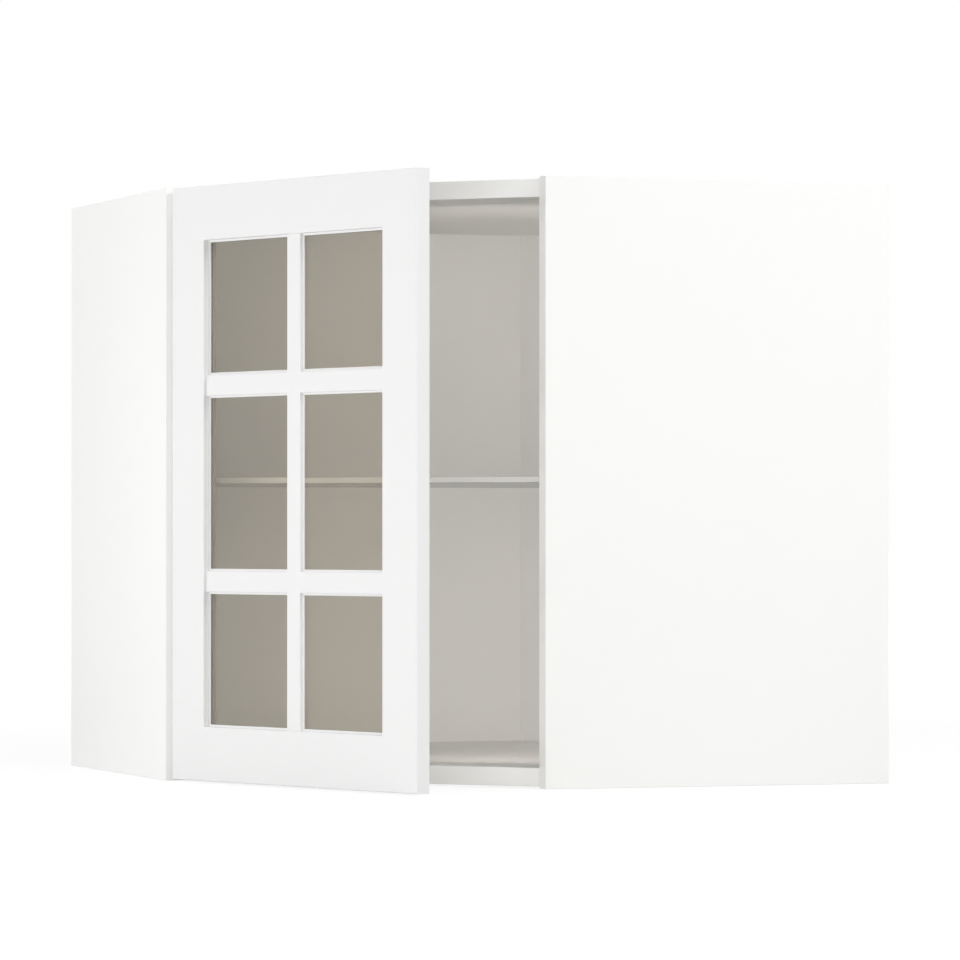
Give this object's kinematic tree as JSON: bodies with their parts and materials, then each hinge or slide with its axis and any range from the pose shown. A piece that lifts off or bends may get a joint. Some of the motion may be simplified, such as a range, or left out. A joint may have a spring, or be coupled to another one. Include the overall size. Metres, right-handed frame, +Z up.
{
  "type": "diagonal corner wall cabinet with glazed door",
  "caption": "Diagonal corner wall cabinet with a glazed, barred door on coupled concealed hinges and a glass shelf.",
  "frame": {"origin": "foot of the corner where the two walls meet, level with the lower ends of the side panels", "axes": "+Z up; X along the right-hand wall and -Y along the left-hand wall, the diagonal front facing +X -Y"},
  "size_m": [0.7479, 0.665, 0.6],
  "materials": {
    "white_board": "white melamine foil on particleboard, satin",
    "white_paint": "white painted fibreboard, satin",
    "shelf_glass": "toughened clear glass, polished edges",
    "door_glass": "toughened clear glass",
    "steel": "nickel-plated steel",
    "zinc": "die-cast zinc",
    "beech": "beech dowel",
    "bumper": "soft clear plastic"
  },
  "bodies": {
    "carcass": {"side_panel_left": "white_board", "side_panel_right": "white_board", "top_panel": "white_board", "bottom_panel": "white_board", "back_panel_left": "white_board", "back_panel_right": "white_board", "rear_corner_panel": "white_board", "shelf": "shelf_glass", "shelf_pegs": "steel", "cam_locks": "zinc", "cam_bolts": "steel", "dowels": "beech", "wall_bracket_left": "steel", "wall_bracket_right": "steel", "bracket_screws": "steel", "hinge_plate_upper": "steel", "hinge_plate_lower": "steel", "hinge_arm_upper": "steel", "hinge_arm_lower": "steel", "hinge_plate_screws": "steel", "hinge_arm_screws": "steel", "hinge_adjusting_screws": "steel", "hinge_arm_pins": "steel"},
    "hinge_links": {"hinge_inner_link_upper": "steel", "hinge_inner_link_lower": "steel"},
    "door": {"hinge_cup_upper": "steel", "hinge_cup_lower": "steel", "hinge_cup_pins": "steel", "hinge_cup_screws": "steel", "door_stile_hinge_side": "white_paint", "door_stile_free_side": "white_paint", "door_rail_top": "white_paint", "door_rail_bottom": "white_paint", "glazing_bar_vertical": "white_paint", "glazing_bar_upper": "white_paint", "glazing_bar_lower": "white_paint", "door_glass": "door_glass", "glazing_beads": "white_paint", "door_bumpers": "bumper"}
  },
  "joints": [
    {"name": "arm_pivot", "type": "hinge", "parent": "carcass", "child": "hinge_links", "pos_m": [0.348, -0.6432, 0.3], "axis": [0, 0, -1], "range_deg": [-3.54, 8.99]},
    {"name": "door_swing", "type": "hinge", "parent": "hinge_links", "child": "door", "pos_m": [0.37946, -0.65065, 0.3], "axis": [0, 0, -1], "range_deg": [-21.87, 55.62]}
  ],
  "couplings": [
    {"joint": "arm_pivot", "follows": "door_swing", "ratio": 0.16144}
  ]
}
